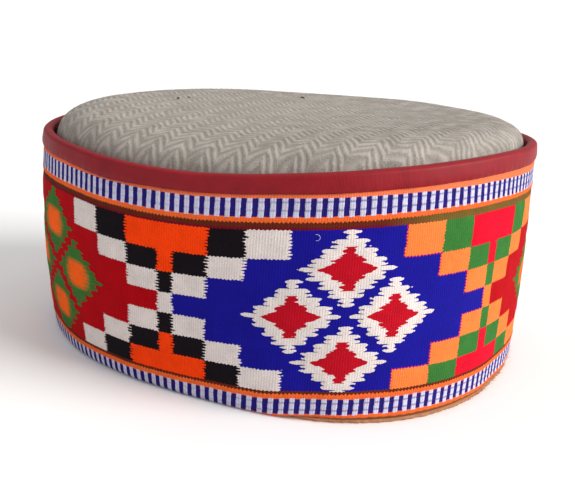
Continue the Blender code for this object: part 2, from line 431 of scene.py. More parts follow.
def band_relief(along, pulled, row, below_line, above_foot):
    """How far the weaving stands out: motifs, orange cords, bars, puckers and the back seam."""
    motif = soften(motif_mask(pulled, row))
    cords = raised(below_line, TOP_CORDS) + raised(above_foot, FOOT_CORDS)
    barred = along + stray(BAR_PULL, along)
    bars = 0.5 - 0.5 * np.cos(FULL_TURN * (barred - BAR_START) / BAR_PITCH)
    bars = bars * (between(below_line, TOP_BARS) + between(above_foot, FOOT_BARS))
    puckers = swaying(along, 1.9, 2.0, 17.0) * ridge(below_line - 7.0, 5.0)
    relief = motif * MOTIF_RISE + cords * CORD_RISE + bars * BAR_RISE + puckers * PUCKER_RISE
    return relief + back_seam(along, *BAND_SEAM)


def add_band(finish):
    """The woven band: a dense patterned face, pinched under the binding, and a plain back.

    The map called chart holds the place along the pulled pattern and its row. The map called
    edges holds the place below the upper border's line and above the foot border's own foot.
    The map called cloth holds the place along the pulled bars and up. All but rows are millimetres.
    """
    turn = turns_from_seam(BAND_COLUMNS)
    length = cloth_length(turn)
    height, field_foot, field_top = band_heights(turn, length)
    rim = around(RIM_HEIGHT, turn)
    inner = np.concatenate([height[::-BACK_THINNING], height[:1]])
    every = np.concatenate([height, inner])
    along = np.broadcast_to(length, every.shape)
    pulled, row = pattern_place(along, FIELD_ROWS * (every - field_foot) / (field_top - field_foot))
    below_line = (rim - every) / MM - stray(BORDER_FALL, length)
    above_foot = every / MM + stray(FOOT_TUCK, length)
    face = slice(0, len(height))
    relief = band_relief(along[face], pulled[face], row[face], below_line[face], above_foot[face])
    reach = stray(BINDING_REACH, length)
    under = smooth_step(reach + PINCH[0], reach + PINCH[1], (rim - height) / MM)
    pinched = BINDING_CLOTH + CLOTH_GAP
    near_foot = np.clip(1.0 - (height - height[0]) / FOOT_ROUNDING, 0.0, 1.0)
    rounding = FOOT_DEPTH * (1.0 - np.sqrt(1.0 - near_foot**2))
    depth = (BAND_INSET - relief) * (1.0 - under) + pinched * under + rounding
    section = [(wall_radius(turn, z) - d, z) for z, d in zip(height, depth)]
    section += [(wall_radius(turn, z) - BAND_INSET - BAND_THICKNESS, z) for z in inner]
    maps = {
        "chart": corner_map(pulled, row),
        "edges": corner_map(below_line, above_foot),
        "cloth": corner_map(along + stray(BAR_PULL, along), every / MM),
    }
    dress(ring_piece("woven_band_cloth", turn, section, finish, maps), "kullu_weave", "woven_band")


BINDING_COLUMNS = 900
LEG_SHARES = (0.0, 0.06, 0.16, 0.30, 0.45, 0.60, 0.75, 0.90)
FOLD_STEPS = 14
LEG_PUFF = 0.00028           # how far the outer leg puffs out
LEG_PINCH = 0.0003           # how far its sewn edge is drawn in
STITCH_PULL = 0.00007        # how far each stitch draws that edge
STITCH_WANDER = 0.00008      # how far the edge wanders in and out
CUT_BEVEL = 0.0002           # bevel of the strip's cut edges
BINDING_SEAM = 404.9         # where the strip's ends overlap, in millimetres along the cloth
LAP_RISE = 0.00022           # how far the overlap stands out
LAP_ENDS = ((-0.5, 0.5), (16.0, 2.0))  # slopes at its two ends, from the seam


def add_rim_binding(finish):
    """The maroon strip: its puffed outer leg, a round fold over the rim, and its inner leg."""
    turn = turns_from_seam(BINDING_COLUMNS)
    rim = around(RIM_HEIGHT, turn)
    along = cloth_length(turn)
    lap = LAP_RISE * between(along - BINDING_SEAM, LAP_ENDS)
    sewn = STITCH_PULL * np.sin(along / 0.62) + STITCH_WANDER * swaying(along, 2.3, 1.0, 11.0)
    back = BAND_BACK + BINDING_CLOTH
    shoulder = rim - RIM_FOLD_RISE
    foot = rim - stray(BINDING_REACH, along) * MM
    section = [(BINDING_CLOTH, foot + CUT_BEVEL), (BINDING_CLOTH / 2.0, foot - CUT_BEVEL / 2.0)]
    for share in LEG_SHARES:
        puff = LEG_PUFF * math.sin(math.pi * share**0.6) - LEG_PINCH * (1.0 - share) ** 8
        section.append((-puff - lap + sewn * (1.0 - share) ** 2, foot + (shoulder - foot) * share))
    for share in np.linspace(0.0, 1.0, FOLD_STEPS):
        swing = math.pi * share
        depth = back * (1.0 - math.cos(swing)) / 2.0 - lap * (1.0 - share)
        section.append((depth, shoulder + RIM_FOLD_RISE * math.sin(swing)))
    tuck = rim - RIM_BINDING_TUCK
    under = rim - BINDING_CLOTH - RIM_FOLD_RISE / 2.0
    front = back - BINDING_CLOTH
    section += [(back, (shoulder + tuck) / 2.0), (back - CUT_BEVEL, tuck)]
    section += [(front + CUT_BEVEL, tuck), (front, tuck + CUT_BEVEL)]
    section += [(front, under), (BINDING_CLOTH, under)]
    rows = [(wall_radius(turn, z) - depth, z) for depth, z in section]
    maps = strip_map(along, len(section), 0.7)
    piece = ring_piece("rim_binding_cloth", turn, rows, finish, maps)
    dress(piece, "maroon_cloth", "rim_binding")


HEM_COLUMNS = 900
HEM_BACK_SHARES = (0.92, 0.8, 0.65, 0.5, 0.35, 0.2)
RAGGED = 0.00014             # how unevenly the raw edge is cut
RAW_SHARE = 0.8              # share of its height that stands upright
HEM_WAVE = 0.00015           # how far the turned-up edge waves
HEM_BOW = 0.0002             # how far the turned-up side bows
HEM_BEVEL = 0.0003           # bevel of its upper edges


def add_hem_binding(finish, rng):
    """The tan strip: an uneven raw edge under both walls, turned up against the inner wall."""
    turn = turns_from_seam(HEM_COLUMNS)
    turn_up = WALL_BACK + CLOTH_GAP
    back = turn_up + BINDING_CLOTH
    along = cloth_length(turn)
    ragged = np.append(rng.normal(0.0, RAGGED, HEM_COLUMNS), 0.0)
    ragged = (ragged + np.roll(ragged, 1)) / 1.6 + 0.00012 * np.sin(along / 3.1)
    ragged[-1] = ragged[0]
    edge = HEM_FACE_INSET + ragged + ROLL_INSET * rolled_under(along)
    wave = HEM_WAVE * swaying(along, 2.7, 1.0, 13.0)
    section = [(edge + SOFT_EDGE, 0.0), (edge, SOFT_EDGE)]
    section += [(edge, HEM_FACE_HEIGHT * RAW_SHARE), (edge + HEM_BEVEL, HEM_FACE_HEIGHT)]
    section += [(turn_up, HEM_FACE_HEIGHT), (turn_up, HEM_TURN_UP - HEM_BEVEL + wave)]
    section += [(back - HEM_BEVEL, HEM_TURN_UP + wave)]
    for share in HEM_BACK_SHARES:
        bow = HEM_BOW * math.sin(math.pi * share)
        section.append((back + bow, (HEM_TURN_UP + wave) * share))
    section += [(back, SOFT_EDGE), (back - SOFT_EDGE, 0.0)]
    rows = []
    for depth, z in section:
        level = z if np.max(z) > HEM_FACE_HEIGHT * 1.1 else 0.0
        rows.append((wall_radius(turn, level) - depth, z))
    piece = ring_piece("hem_tape", turn, rows, finish, strip_map(along, len(section), 0.8))
    dress(piece, "tan_cloth", "hem_binding")


INNER_COLUMNS = 480
INNER_ROWS = 40
OUTSIDE_THINNING = 8         # rows of the wall's inside to one of its hidden outside
LEAN_START = 0.82            # share of the rim's height at which the wall starts to lean in
INNER_SAG = 0.0002           # how far the cloth sags in soft waves
MOST_HOLLOW = -0.0004        # how far at most it sinks into the wall
INNER_SEAM = ((0.0005, 3.0), (0.0007, 0.9))


def add_inner_wall(finish):
    """The plain wool wall inside, leaning in at its top, with a pressed seam at the back."""
    turn = turns_from_seam(INNER_COLUMNS)
    rim = around(RIM_HEIGHT, turn)
    along = cloth_length(turn)
    foot = HEM_FACE_HEIGHT + CLOTH_GAP
    top = rim - CROWN_SEAM_DROP - CLOTH_GAP
    lean_from = LEAN_START * rim
    seam = back_seam(along, *INNER_SEAM)
    outside = []
    inside = []
    for share in np.linspace(0.0, 1.0, INNER_ROWS):
        height = foot + (top - foot) * share
        leaning = np.clip((height - lean_from) / (top - lean_from), 0.0, 1.0)
        radius = wall_radius(turn, height) - BAND_BACK - (CROWN_EDGE - BAND_BACK) * leaning
        outside.append((radius, height))
        sag = INNER_SAG * np.sin(9.0 * turn + 5.0 * share) * math.sin(math.pi * share)
        swell = np.maximum(seam + sag, MOST_HOLLOW)
        inside.append((radius - CROWN_WALL_THICKNESS - swell, height))
    section = outside[::OUTSIDE_THINNING] + outside[-1:] + inside[::-1]
    heights = np.array([z / MM for _, z in section])
    maps = {"cloth": corner_map(np.broadcast_to(along, heights.shape), heights)}
    piece = ring_piece("inner_wall_cloth", turn, section, finish, maps)
    dress(piece, "inner_wool", "crown_wall")


CROWN_COLUMNS = 880
CROWN_RADIUS = 90.0          # about the crown's radius, in millimetres
MEASURED_TURN = 4.7          # where its rings are spaced: at the wearer's right, in radians
EDGE_SPACING = 0.55          # between its rings near its edge, in millimetres
CLOSE_REACH = 33.0           # how far in from the edge they stay so close
SPREAD_REACH = 14.0          # how much further in their spacing is doubled
LAST_SPACING = 1.5           # how near the middle the last ring may lie
FINE_RINGS = 20001           # rings tried when the spacing is measured
RIB_RISE = 0.00008           # of the herringbone's ribs
GATHER_RISE = 0.00010        # of the gathers at the edge
GATHER_REACH = 0.055         # how far they run in, as a share of the radius
SAG_RISE = 0.00016           # of the cloth's broad slack
CREASE_RISE = 0.00006        # of its finer slack
CROWN_SINK = 0.00035         # how far the cloth sinks below its solid inside the edge
UNDER_RINGS = (1.0, 0.997, 0.985, 0.96, 0.92, 0.86, 0.76, 0.60, 0.30)


def crown_row(ring, turn, thickness):
    """Radius and height of the dome at a share of its radius, on its face or under its cloth.

    The face rises from the crown's seam as the root of one minus a power of the ring's share, so
    that it is steep at the edge and nearly level inside it. The base under it goes from the
    rim's own height at the edge to the mean rim in the middle.
    """
    rim = around(RIM_HEIGHT, turn)
    mean_rim = np.mean([row[RIM_HEIGHT] for row in STATIONS])
    edge = wall_radius(turn, rim - CROWN_SEAM_DROP) - CROWN_EDGE - thickness
    base = mean_rim + (rim - mean_rim) * ring**2 - CROWN_SEAM_DROP
    puff = CROWN_PUFF + CROWN_SEAM_DROP - thickness
    dome = (1.0 - ring**CROWN_FLATNESS) ** (1.0 / CROWN_SHOULDER)
    return edge * ring, base + puff * dome


def crown_rings():
    """Shares of the radius, from the middle out, whose rings lie close together at the edge."""
    fine = 1.0 - np.linspace(0.0, 1.0, FINE_RINGS) ** 2
    radius, height = crown_row(fine, np.array(MEASURED_TURN), 0.0)
    length = np.concatenate([[0.0], np.cumsum(np.hypot(np.diff(radius), np.diff(height)))]) / MM
    marks = [0.0]
    while marks[-1] < length[-1] - LAST_SPACING:
        spread = max(0.0, marks[-1] - CLOSE_REACH) / SPREAD_REACH
        marks.append(marks[-1] + EDGE_SPACING * (1.0 + spread))
    return np.interp(marks, length, fine)[::-1]


def stripe_place(x, y):
    """Millimetres along and across the crown's stripes, for arrays and for wires alike."""
    along = x * math.cos(STRIPE_TURN) + y * math.sin(STRIPE_TURN)
    across = x * math.sin(STRIPE_TURN) - y * math.cos(STRIPE_TURN)
    return along, across


def herringbone(x, y):
    """Height from minus one to one of the slanting ribs at a place on the crown.

    The cloth is cut in stripes. Across each stripe the ribs climb on one side and fall on the
    next, so that the phase of their wave is the way along plus a folded way across.
    """
    along, across = stripe_place(x, y)
    folded = fold_back(across + STRIPE_START, STRIPE_WIDTH)
    return np.cos(FULL_TURN * (along + RIB_SLANT * folded) / RIB_SPACING)


def surface_normals(points):
    """Unit normals of a grid of points whose columns close on themselves."""
    along = np.roll(points, -1, 1) - np.roll(points, 1, 1)
    out = np.gradient(points, axis=0)
    normal = np.cross(out, along)
    return normal / np.maximum(np.linalg.norm(normal, axis=2, keepdims=True), 1e-12)


def crown_face():
    """The dome's face with its ribs, gathers at the edge and slack, and its unit normals."""
    turn = turns_from_seam(CROWN_COLUMNS)[:-1]
    rings = crown_rings()[:, None]
    radius, height = crown_row(rings, turn, 0.0)
    points = place(turn, radius, height)
    normal = surface_normals(points)
    x, y = points[..., 0] / MM, points[..., 1] / MM
    spacing = np.gradient(rings[:, 0])[:, None] * CROWN_RADIUS
    shown = smooth_step(1.6, 0.8, spacing) * smooth_step(1.0, 0.985, rings)
    ribs = herringbone(x, y) * shown * RIB_RISE
    edge = np.exp(-(1.0 - rings) / GATHER_REACH) * smooth_step(1.0, 0.97, rings)
    gathers = GATHER_RISE * np.sin(31.0 * turn + 2.0 * np.sin(5.0 * turn)) * edge
    sag = SAG_RISE * np.sin(x / 15.0 + 1.3 * np.sin(y / 23.0)) * np.sin(y / 17.0 + 0.8)
    sag = sag + CREASE_RISE * np.sin(x / 7.7 - y / 9.1) - CROWN_SINK
    lift = ribs + gathers + sag * smooth_step(1.0, 0.93, rings)
    return points + normal * lift[..., None], normal


def add_crown(finish):
    """The domed disc: the rings of its face, its edge and the rings of its underside."""
    turn = turns_from_seam(CROWN_COLUMNS)[:-1]
    face = crown_face()[0][1:]
    under = [place(turn, *crown_row(ring, turn, CROWN_CLOTH)) for ring in UNDER_RINGS]
    rows = np.concatenate([face, np.array(under)])
    flat_turn = np.array(math.pi)
    peak = place(flat_turn, *crown_row(0.0, flat_turn, 0.0))
    ceiling = place(flat_turn, *crown_row(0.0, flat_turn, CROWN_CLOTH))
    points = np.concatenate([rows.reshape(-1, 3), peak[None], ceiling[None]])
    faces = grid_faces(len(rows), CROWN_COLUMNS, closed=False)[:, ::-1].tolist()
    step = np.arange(CROWN_COLUMNS)
    after = (step + 1) % CROWN_COLUMNS
    pole = len(rows) * CROWN_COLUMNS
    last = pole - CROWN_COLUMNS
    faces += np.stack([np.full_like(step, pole), step, after], 1).tolist()
    faces += np.stack([np.full_like(step, pole + 1), last + after, last + step], 1).tolist()
    dress(new_piece("crown_cloth", points, faces, finish), "herringbone_wool", "crown_top")


FUZZ_COUNT = 9000
FUZZ_RADII = np.array([0.030, 0.026, 0.020, 0.008]) * MM
FUZZ_LENGTH = (0.0003, 0.0008)
BARE_RINGS = 6               # rings round the middle with no fibres


def bent_fibres(root, lean, curl, length):
    """Four points along each fibre: its root, its lean by the share, its curl by the square."""
    share = np.linspace(0.0, 1.0, 4)[None, :, None]
    bend = lean[:, None] * share + curl[:, None] * share**2
    return root[:, None] + length[:, None, None] * bend


def add_crown_fuzz(finish, rng):
    """Short stray fibres that stand out of the crown's cloth and soften its outline."""
    face, normal = crown_face()
    inward = rng.random(FUZZ_COUNT) ** 1.5 * (len(face) - BARE_RINGS)
    ring = len(face) - 1 - inward.astype(int)
    column = rng.integers(0, CROWN_COLUMNS, FUZZ_COUNT)
    lean = rng.normal(0.0, 0.8, (FUZZ_COUNT, 3)) + normal[ring, column]
    lean /= np.linalg.norm(lean, axis=1, keepdims=True)
    curl = rng.normal(0.0, 0.35, (FUZZ_COUNT, 3))
    length = rng.uniform(*FUZZ_LENGTH, FUZZ_COUNT)
    lines = bent_fibres(face[ring, column], lean, curl, length)
    dress(strands("crown_fuzz", lines, FUZZ_RADII, 3, finish), "herringbone_wool")


HEM_FRAY = 2600              # yarn ends at most
FRAY_RADII = np.array([0.05, 0.045, 0.035, 0.012]) * MM
FRAY_LENGTH = (0.0006, 0.0018)
FRAY_MIDDLE = 262.0          # where the fray is thickest, in degrees
FRAY_WIDTH = 14.0            # how far that goes to both sides
FRAY_LEAST = 0.30            # share of the yarn ends that show elsewhere
LEAST_HEIGHT = 0.00008       # of a loose yarn above the floor


def add_hem_fray(finish, rng):
    """Loose ends of the tan strip's yarns, thickest at the wearer's right."""
    turn = rng.uniform(0.0, FULL_TURN, HEM_FRAY * 2)
    wanted = FRAY_LEAST + (1.0 - FRAY_LEAST) * ridge(np.degrees(turn) - FRAY_MIDDLE, FRAY_WIDTH)
    wanted = wanted * (1.0 - rolled_under(cloth_length(turn)))
    turn = turn[rng.random(len(turn)) < wanted][:HEM_FRAY]
    count = len(turn)
    root_height = rng.uniform(SOFT_EDGE, HEM_FACE_HEIGHT, count)
    root = place(turn, wall_radius(turn, 0.0) - HEM_FACE_INSET - 0.0001, root_height)
    outward = np.stack([np.cos(turn), np.sin(turn), np.zeros(count)], 1)
    sideways = np.stack([-np.sin(turn), np.cos(turn), np.zeros(count)], 1)
    lean = outward * rng.uniform(0.3, 1.0, count)[:, None]
    lean = lean + sideways * rng.normal(0.0, 0.8, count)[:, None]
    lean[:, 2] += rng.uniform(-0.15, 0.35, count)
    curl = rng.normal(0.0, 0.3, (count, 3))
    curl[:, 2] = np.abs(curl[:, 2]) * 0.4
    lines = bent_fibres(root, lean, curl, rng.uniform(*FRAY_LENGTH, count))
    lines[..., 2] = np.maximum(lines[..., 2], LEAST_HEIGHT)
    dress(strands("hem_fray", lines, FRAY_RADII, 3, finish), "tan_cloth")


def on_band(along, below_rim, lift):
    """Points on the band's face from millimetres along it, below the rim, and a lift off it."""
    fine = np.linspace(0.0, FULL_TURN, ROUND_STEPS)
    turn = np.interp(along, cloth_length(fine), fine)
    height = around(RIM_HEIGHT, turn) - below_rim * MM
    return place(turn, wall_radius(turn, height) - BAND_INSET + lift, height)


SEAM_STITCHES = 30
STITCH_TOP = 10.0            # the first stitch's place below the rim, in millimetres
STITCHED_LENGTH = 72.0
STITCH_WIDTH = 4.6
STITCH_FALL = 1.5            # how far a stitch slants down
STITCH_RISE = 0.00062
SEAM_THREAD = 0.26 * MM      # half thickness of its thread


def add_seam_stitches(finish):
    """Slanting over-and-over stitches that close the band at its back seam."""
    seam = cloth_length(np.array([math.pi]))[0]
    step = np.arange(SEAM_STITCHES)[:, None]
    share = np.linspace(0.0, 1.0, 9)
    along = seam + (share - 0.5) * STITCH_WIDTH + 0.15 * np.sin(step * 2.4)
    below = STITCH_TOP + step * (STITCHED_LENGTH / SEAM_STITCHES) + share * STITCH_FALL
    lift = STITCH_RISE * np.sin(math.pi * share) ** 0.6 - 0.0001
    lines = on_band(along, below, np.broadcast_to(lift, along.shape))
    dress(strands("seam_stitches", lines, SEAM_THREAD, 6, finish), "kullu_weave")


LOOP_START = (398.5, 7.4)    # where the caught loop starts: along the band, and below the rim
CURL_MIDDLE = (454.8, 21.6)  # where the small curl has its middle
THREAD_RADII = np.array([[0.11], [0.065]]) * MM  # half thickness of the loop and of the curl


def add_loose_threads(finish):
    """A caught loop on the upper border and a small curl of yarn on the blue panel."""
    share = np.linspace(0.0, 1.0, 40)
    arch = np.sin(math.pi * share)
    sway = 1.1 * np.sin(share * 4.1) + 0.35 * np.sin(share * 13.0)
    loop = on_band(LOOP_START[0] + sway, LOOP_START[1] + 6.6 * share, 0.0002 + 0.0012 * arch**0.7)
    swing = np.linspace(-1.9, 1.7, 40)
    along = CURL_MIDDLE[0] + 1.2 * np.cos(swing)
    curl = on_band(along, CURL_MIDDLE[1] + 1.1 * np.sin(swing), 0.0002 + 0.0004 * arch)
    lines = np.stack([loop, curl])
    dress(strands("loose_threads", lines, THREAD_RADII, 6, finish), "kullu_weave")


# Bits of dark lint on the crown, in millimetres: place, direction in degrees, length, thickness.
LINT = (
    (-49.2, 6.5, 60.0, 2.3, 0.42),
    (-45.4, 12.3, 150.0, 1.8, 0.22),
    (3.2, 33.0, 125.0, 3.4, 0.34),
)


def add_lint(finish):
    """Three short dark bits of lint that lie on the crown, thick in the middle."""
    share = np.linspace(0.0, 1.0, 12)
    arch = np.sin(math.pi * share)
    lines = []
    radii = []
    for x, y, degrees, length, thickness in LINT:
        heading = math.radians(degrees)
        px = (x + length * (share - 0.5) * math.cos(heading)) * MM
        py = (y + length * (share - 0.5) * math.sin(heading)) * MM
        turn = np.arctan2(py + MIDDLE_Y, px + MIDDLE_X)
        edge = crown_row(1.0, turn, 0.0)[0]
        ring = np.hypot(px + MIDDLE_X, py + MIDDLE_Y) / edge
        pz = crown_row(ring, turn, 0.0)[1] + thickness * MM * (0.7 + 0.5 * arch)
        lines.append(np.stack([px, py, pz], 1))
        radii.append(thickness * MM * np.sin(math.pi * (0.08 + 0.84 * share)))
    piece = strands("crown_lint", np.array(lines), np.array(radii), 6, finish)
    dress(piece, "herringbone_wool")


TAPE_STITCHES = 130
TAPE_STITCH_SHARE = 0.52     # of its pitch that a stitch is long
TAPE_STITCH_DROP = 0.0019    # how far the stitches lie below the tape's edge
TAPE_THREAD = 0.16 * MM      # half thickness of their thread


def add_tape_stitches(finish):
    """Small running stitches that hold the turned-up tan strip to the inner wall."""
    turn = turns_from_seam(TAPE_STITCHES)[:-1]
    share = np.linspace(0.0, 1.0, 7)
    turns = turn[:, None] + (share - 0.5) * (FULL_TURN / TAPE_STITCHES * TAPE_STITCH_SHARE)
    height = HEM_TURN_UP - TAPE_STITCH_DROP + 0.0002 * np.sin(turns * 41.0)
    depth = WALL_BACK + CLOTH_GAP + BINDING_CLOTH + 0.0002 + 0.00022 * np.sin(math.pi * share)
    lines = place(turns, wall_radius(turns, height) - depth, height)
    dress(strands("tape_stitches", lines, TAPE_THREAD, 5, finish), "tan_cloth")


def dye(red, green, blue):
    """A colour from its screen values, as the share of light that it reflects."""
    screen = np.array([red, green, blue]) / 255.0
    linear = np.where(screen <= 0.04045, screen / 12.92, ((screen + 0.055) / 1.055) ** 2.4)
    return (*linear.tolist(), 1.0)


# Dyes of the yarns and cloths, by their screen values.
RED = dye(176, 2, 16)
ROSE = dye(214, 10, 42)
BLUE = dye(24, 20, 142)
WHITE = dye(226, 214, 210)
BLACK = dye(22, 17, 22)
ORANGE = dye(255, 66, 8)
PALE_ORANGE = dye(242, 124, 60)
GREEN = dye(54, 114, 50)
CRIMSON = dye(184, 14, 34)
CORE_ORANGE = dye(255, 100, 26)
LINE_ORANGE = dye(240, 104, 48)
LINE_PINK = dye(242, 118, 76)
BROWN = dye(98, 40, 22)
OLIVE = dye(112, 92, 40)
GOLD = dye(140, 86, 42)
WINE = dye(112, 16, 32)
BAR_BLUE = dye(36, 28, 112)
BAR_WHITE = dye(204, 200, 224)
BAR_THREAD = dye(104, 100, 140)
MAGENTA = dye(190, 24, 92)
MAROON = dye(152, 16, 32)
MAROON_DARK = dye(118, 8, 20)
WOOL_LIGHT = dye(175, 168, 160)
WOOL_DARK = dye(131, 125, 118)
TAN_CLOTH = dye(206, 152, 118)
TAN_DARK = dye(168, 112, 80)
LINT_DARK = dye(44, 38, 38)
LINT_GREY = dye(92, 84, 80)

# Stripes of the borders, from their outer line inwards: where each begins, and its colour.
TOP_STRIPES = ((14.4, LINE_ORANGE), (16.2, BROWN), (17.9, WINE))
FOOT_STRIPES = ((3.2, LINE_ORANGE), (4.7, None), (11.0, LINE_ORANGE), (12.9, BROWN))
BINDING_LINE = 7.9           # the lower edge of the pale line that shows under the binding
GOLD_STRIPE = 1.6            # where the foot's golden brown stripe begins
TOP_THREADS = (9.2, 12.1)    # grey threads that cross the white bars
FOOT_THREADS = (6.5, 9.3)


class Wire:
    """A value running through a node tree, which can be added and compared like a number."""

    def __init__(self, tree, socket):
        self.tree = tree
        self.socket = socket

    def calc(self, operation, *others):
        """A Math node of the named operation, fed with this value and the others."""
        node = self.tree.nodes.new("ShaderNodeMath")
        node.operation = operation
        for slot, value in enumerate((self, *others)):
            feed(self.tree, value, node.inputs[slot])
        return Wire(self.tree, node.outputs[0])

    def __add__(self, other):
        return self.calc("ADD", other)

    def __sub__(self, other):
        return self.calc("SUBTRACT", other)

    def __mul__(self, other):
        return self.calc("MULTIPLY", other)

    def __truediv__(self, other):
        return self.calc("DIVIDE", other)

    def above(self, edge):
        """One above the edge and zero below it."""
        return self.calc("GREATER_THAN", edge)

    def below(self, edge):
        """One below the edge and zero above it."""
        return self.calc("LESS_THAN", edge)

    def folded(self, reach):
        """The value folded to and fro between zero and the reach."""
        return self.calc("PINGPONG", reach)

    def unit(self):
        """The value held between zero and one."""
        return self.calc("MAXIMUM", 0.0).calc("MINIMUM", 1.0)

    def near(self, middle, reach):
        """One at the middle, falling evenly to zero at the reach on either side."""
        return ((self - middle).calc("ABSOLUTE") * (-1.0 / reach) + 1.0).unit()

    def near_any(self, middles, reach):
        """The same peak at each of two middles."""
        first, second = middles
        return self.near(first, reach).calc("MAXIMUM", self.near(second, reach))

    def tooth(self, pitch):
        """A saw of even teeth, from minus a half to a half."""
        return self.folded(pitch / 2.0) * (2.0 / pitch) - 0.5

    def wave(self, pitch):
        """A cosine of that pitch."""
        return (self * (FULL_TURN / pitch)).calc("COSINE")


def feed(tree, value, socket):
    """Links a wire to a socket, or sets the socket to a plain number or colour."""
    if isinstance(value, Wire):
        tree.links.new(value.socket, socket)
    else:
        socket.default_value = value


def split(wire):
    """The first two numbers of a vector as wires."""
    node = wire.tree.nodes.new("ShaderNodeSeparateXYZ")
    feed(wire.tree, wire, node.inputs[0])
    return [Wire(wire.tree, output) for output in node.outputs[:2]]


def blend(tree, share, first, second):
    """A colour between two colours, by a share from zero to one."""
    node = tree.nodes.new("ShaderNodeMix")
    node.data_type = "RGBA"
    feed(tree, share, node.inputs[0])
    feed(tree, first, node.inputs[6])
    feed(tree, second, node.inputs[7])
    return Wire(tree, node.outputs[2])


def shaded(tree, colour, strength):
    """A colour made darker or lighter by a wire around one."""
    node = tree.nodes.new("ShaderNodeVectorMath")
    node.operation = "SCALE"
    feed(tree, colour, node.inputs[0])
    feed(tree, strength, node.inputs["Scale"])
    return Wire(tree, node.outputs[0])


def noise(spot, scale, detail):
    """Soft noise from zero to one over a vector."""
    node = spot.tree.nodes.new("ShaderNodeTexNoise")
    feed(spot.tree, spot, node.inputs["Vector"])
    node.inputs["Scale"].default_value = scale
    node.inputs["Detail"].default_value = detail
    return Wire(spot.tree, node.outputs["Fac"])


def new_group(name, inputs, outputs):
    """An empty node group with named inputs and outputs, and its inside sockets."""
    tree = bpy.data.node_groups.new(name, "ShaderNodeTree")
    for label, kind in inputs:
        tree.interface.new_socket(label, in_out="INPUT", socket_type="NodeSocket" + kind)
    for label, kind in outputs:
        tree.interface.new_socket(label, in_out="OUTPUT", socket_type="NodeSocket" + kind)
    entry = tree.nodes.new("NodeGroupInput")
    leave = tree.nodes.new("NodeGroupOutput")
    return tree, entry.outputs, leave.inputs


def use_group(tree, group, **values):
    """A node group placed in a tree, its inputs fed by name, with its outputs as wires."""
    node = tree.nodes.new("ShaderNodeGroup")
    node.node_tree = group
    for label, value in values.items():
        feed(tree, value, node.inputs[label])
    return {output.name: Wire(tree, output) for output in node.outputs}


def weave_group():
    """Rounded ribs crossed by shorter yarns that step by half a yarn from rib to rib."""
    inputs = (("Across", "Float"), ("Up", "Float"), ("Rib", "Float"), ("Yarn", "Float"))
    tree, entry, leave = new_group("ribbed_weave", inputs, (("Height", "Float"),))
    across, up, rib, yarn = (Wire(tree, entry[label]) for label, _ in inputs)
    ribs = across / rib
    rounded = (ribs * FULL_TURN).calc("COSINE") * -0.5 + 0.5
    climb = up / yarn + ribs.calc("FLOOR") * 0.5
    yarns = (climb * FULL_TURN).calc("COSINE") * 0.22 + 0.78
    feed(tree, rounded * yarns, leave["Height"])
    return tree


def wool_group():
    """Uneven dye in soft patches, and the fine lie of the fibres."""
    inputs = (("Place", "Vector"),)
    outputs = (("Patches", "Float"), ("Fibres", "Float"))
    tree, entry, leave = new_group("wool_tone", inputs, outputs)
    spot = Wire(tree, entry["Place"])
    feed(tree, noise(spot, 0.16, 3.0), leave["Patches"])
    feed(tree, noise(spot, 2.6, 2.0), leave["Fibres"])
    return tree


# Finer measures of the charted pattern, in millimetres where no other unit is named.
WHITE_REACH = 0.3            # how far the white bars reach beyond the blue ones at both ends
THREAD_WIDTH = 0.55          # half width of the grey threads
BEAD_WIDTH = 0.7             # half width of the dents that they press into the bars
FADE_START = 425.0           # where the grey threads begin to be clearer, along the band
FADE_REACH = 30.0            # how much further on they are clearest
FRAYED = (1.25, 0.45)        # how much yarn ends show at the sides of the first and second cross
OLIVE_START = 54.0           # where the olive tint begins, from the second cross's middle
OLIVE_REACH = 20.0           # how far it takes to reach its most
OLIVE_SHARE = 0.85
ROW_TEETH = 0.05             # height of the teeth along a block's upper and lower edge, in rows
ROW_WOBBLE = 0.07            # unevenness of those edges, in rows
BARELY = 0.001               # how far inside the field its outermost rows are read
FRINGE_OUT = 0.4             # how far the pink fringe shows beside a block
FRINGE_UP = 0.04             # how far it shows above and below one, in rows
FRINGE_END = 0.6             # how far it goes beyond a cross's outermost blocks
FRINGE_SHARE = 0.7           # how strong its pink is
LOZENGE_FRAY = 1.8           # how much yarn ends show at the sides of a lozenge
CORE_FRAY = 1.3              # and at those of its core
STEM = (2.2, 7.9)            # half width and half height of the upright in a blue panel's cores
TIPS = (12.5, 3.4, 10.0)     # half width and half height of their crossbar, and where it is cut
# Blocks of a cross, from its outline inwards: the depth at which they begin, and their colours in
# the first and in the second cross.
BLOCKS = ((-0.5, WHITE, PALE_ORANGE), (0.5, BLACK, GREEN), (1.5, ORANGE, ROSE))
# Cores of the lozenges sideways, upwards, and both together: reach and blur on the red panel, then
# on the blue one.
CORE_REACH = (
    ((10.0, 5.5), (5.8, 0.3)),
    ((6.4, 2.4), (4.7, 0.3)),
    ((13.5, 5.0), (8.8, 0.3)),
)


def cross_share(across, row):
    """How many blocks a place lies inside a cross: negative on the ground, two at its heart."""
    column = across.above(CROSS_EDGES[0])
    for edge in CROSS_EDGES[1:]:
        column = column + across.above(edge)
    return (row.calc("FLOOR") - MIDDLE_BLOCK).calc("ABSOLUTE") - column


def finger(up, wobble, pitch):
    """How far a side edge stops short, least in the middle of each rounded yarn end.

    It is four times the square of the way from that middle, less its mean, and uneven.
    """
    middle = (up / pitch).calc("FRACT") - 0.5
    return middle * middle * 4.0 - 0.33 + wobble * 2.6


